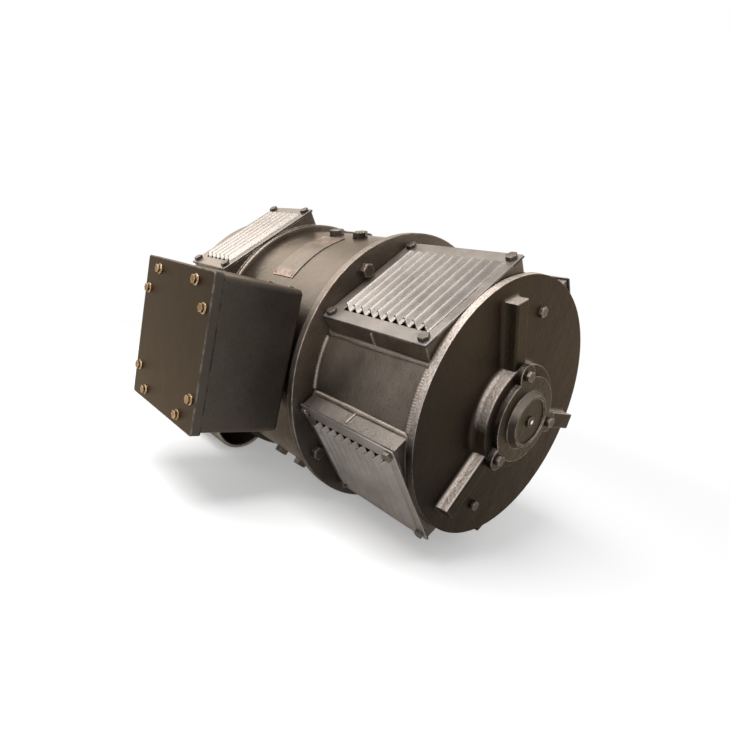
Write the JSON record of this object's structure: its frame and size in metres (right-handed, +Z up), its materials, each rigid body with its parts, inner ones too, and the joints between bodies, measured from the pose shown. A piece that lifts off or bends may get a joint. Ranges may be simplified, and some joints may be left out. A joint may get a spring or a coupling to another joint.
{
  "type": "dc motor",
  "caption": "Ventilated dc motor with a cylindrical frame, louvred covers over its commutator, a square terminal box on one side, a flanged drive end and a keyed shaft.",
  "frame": {"origin": "centre of the drive end mounting face, on the shaft axis", "axes": "+X out along the shaft extension, +Y towards the terminal box, +Z up"},
  "size_m": [0.951, 0.7765, 0.5963],
  "materials": {
    "frame_paint": "dark grey-brown paint with a low metallic sheen over rough castings and welds",
    "cover_paint": "silver-grey paint on pressed sheet, dusty in the louvres",
    "bolt_steel": "hexagon bolts under the same dark paint",
    "bright_steel": "machined steel",
    "core_steel": "laminated core steel",
    "brass": "yellow-passivated or brass hardware",
    "copper": "copper bars, undercut and skimmed",
    "varnish": "red-brown insulating varnish",
    "insulation": "glass laminate board",
    "carbon": "electrographite",
    "gasket": "cork-rubber gasket",
    "plate_metal": "bare plate under worn paint"
  },
  "bodies": {
    "frame": {"air_hoods": "frame_paint", "arm_insulators": "insulation", "bearing_cap_bolts": "bolt_steel", "brush_arms": "bright_steel", "brush_holders": "brass", "brush_rocker": "bright_steel", "cable_glands": "brass", "cap_plug": "bright_steel", "commutator_cover_1": "cover_paint", "commutator_cover_2": "cover_paint", "commutator_cover_3": "cover_paint", "commutator_cover_4": "cover_paint", "commutator_end_cap": "frame_paint", "commutator_end_housing": "frame_paint", "commutator_end_plate": "frame_paint", "commutator_inner_cap": "frame_paint", "cover_bolts": "bolt_steel", "cover_gaskets": "gasket", "data_plate": "plate_metal", "drive_cover_1": "cover_paint", "drive_cover_2": "cover_paint", "drive_end_housing": "frame_paint", "drive_end_plate": "frame_paint", "drive_inner_cap": "frame_paint", "drive_outer_cap": "frame_paint", "field_coils": "varnish", "frame_bolts": "bolt_steel", "gland_plate": "frame_paint", "inter_pole_coils": "varnish", "inter_poles": "core_steel", "lid_bolts": "brass", "lid_frame": "frame_paint", "main_poles": "core_steel", "outer_races": "bright_steel", "pole_bolts": "bolt_steel", "rocker_bolts": "bolt_steel", "terminal_board": "insulation", "terminal_box": "frame_paint", "terminal_gasket": "gasket", "terminal_lid": "frame_paint", "terminal_neck": "frame_paint", "terminal_studs": "brass", "yoke": "frame_paint"},
    "rotor": {"shaft": "bright_steel", "armature_core": "core_steel", "armature_winding": "varnish", "commutator_bars": "copper", "commutator_hub": "bright_steel", "fan": "bright_steel", "inner_races": "bright_steel"},
    "commutator_balls": {"commutator_balls": "bright_steel"},
    "drive_balls": {"drive_balls": "bright_steel"},
    "brushes_1": {"brushes_1": "carbon"},
    "brush_fingers_1": {"brush_fingers_1": "bright_steel"},
    "brushes_2": {"brushes_2": "carbon"},
    "brush_fingers_2": {"brush_fingers_2": "bright_steel"},
    "brushes_3": {"brushes_3": "carbon"},
    "brush_fingers_3": {"brush_fingers_3": "bright_steel"},
    "brushes_4": {"brushes_4": "carbon"},
    "brush_fingers_4": {"brush_fingers_4": "bright_steel"}
  },
  "joints": [
    {"name": "rotor_spin", "type": "hinge", "parent": "frame", "child": "rotor", "pos_m": [0, 0, 0], "axis": [1, 0, 0], "continuous": true},
    {"name": "commutator_balls_spin", "type": "hinge", "parent": "frame", "child": "commutator_balls", "pos_m": [-0.7605, 0, 0], "axis": [1, 0, 0], "continuous": true},
    {"name": "drive_balls_spin", "type": "hinge", "parent": "frame", "child": "drive_balls", "pos_m": [-0.0505, 0, 0], "axis": [1, 0, 0], "continuous": true},
    {"name": "brush_lift_1", "type": "slide", "parent": "frame", "child": "brushes_1", "axis": [0, 0.3338, 0.9426], "range_m": [0, 0.008], "stiffness_N_per_m": 1500, "springref_m": -0.012},
    {"name": "finger_swing_1", "type": "hinge", "parent": "frame", "child": "brush_fingers_1", "pos_m": [-0.64, 0.02611, 0.14564], "axis": [1, 0, 0], "range_deg": [0, 20.9]},
    {"name": "brush_lift_2", "type": "slide", "parent": "frame", "child": "brushes_2", "axis": [0, -0.9426, 0.3338], "range_m": [0, 0.008], "stiffness_N_per_m": 1500, "springref_m": -0.012},
    {"name": "finger_swing_2", "type": "hinge", "parent": "frame", "child": "brush_fingers_2", "pos_m": [-0.64, -0.14564, 0.02611], "axis": [1, 0, 0], "range_deg": [0, 20.9]},
    {"name": "brush_lift_3", "type": "slide", "parent": "frame", "child": "brushes_3", "axis": [0, -0.3338, -0.9426], "range_m": [0, 0.008], "stiffness_N_per_m": 1500, "springref_m": -0.012},
    {"name": "finger_swing_3", "type": "hinge", "parent": "frame", "child": "brush_fingers_3", "pos_m": [-0.64, -0.02611, -0.14564], "axis": [1, 0, 0], "range_deg": [0, 20.9]},
    {"name": "brush_lift_4", "type": "slide", "parent": "frame", "child": "brushes_4", "axis": [0, 0.9426, -0.3338], "range_m": [0, 0.008], "stiffness_N_per_m": 1500, "springref_m": -0.012},
    {"name": "finger_swing_4", "type": "hinge", "parent": "frame", "child": "brush_fingers_4", "pos_m": [-0.64, 0.14564, -0.02611], "axis": [1, 0, 0], "range_deg": [0, 20.9]}
  ],
  "couplings": [
    {"joint": "commutator_balls_spin", "follows": "rotor_spin", "ratio": 0.3842},
    {"joint": "drive_balls_spin", "follows": "rotor_spin", "ratio": 0.388},
    {"joint": "finger_swing_1", "follows": "brush_lift_1", "rad_per_m": 45.455},
    {"joint": "finger_swing_2", "follows": "brush_lift_2", "rad_per_m": 45.455},
    {"joint": "finger_swing_3", "follows": "brush_lift_3", "rad_per_m": 45.455},
    {"joint": "finger_swing_4", "follows": "brush_lift_4", "rad_per_m": 45.455}
  ]
}
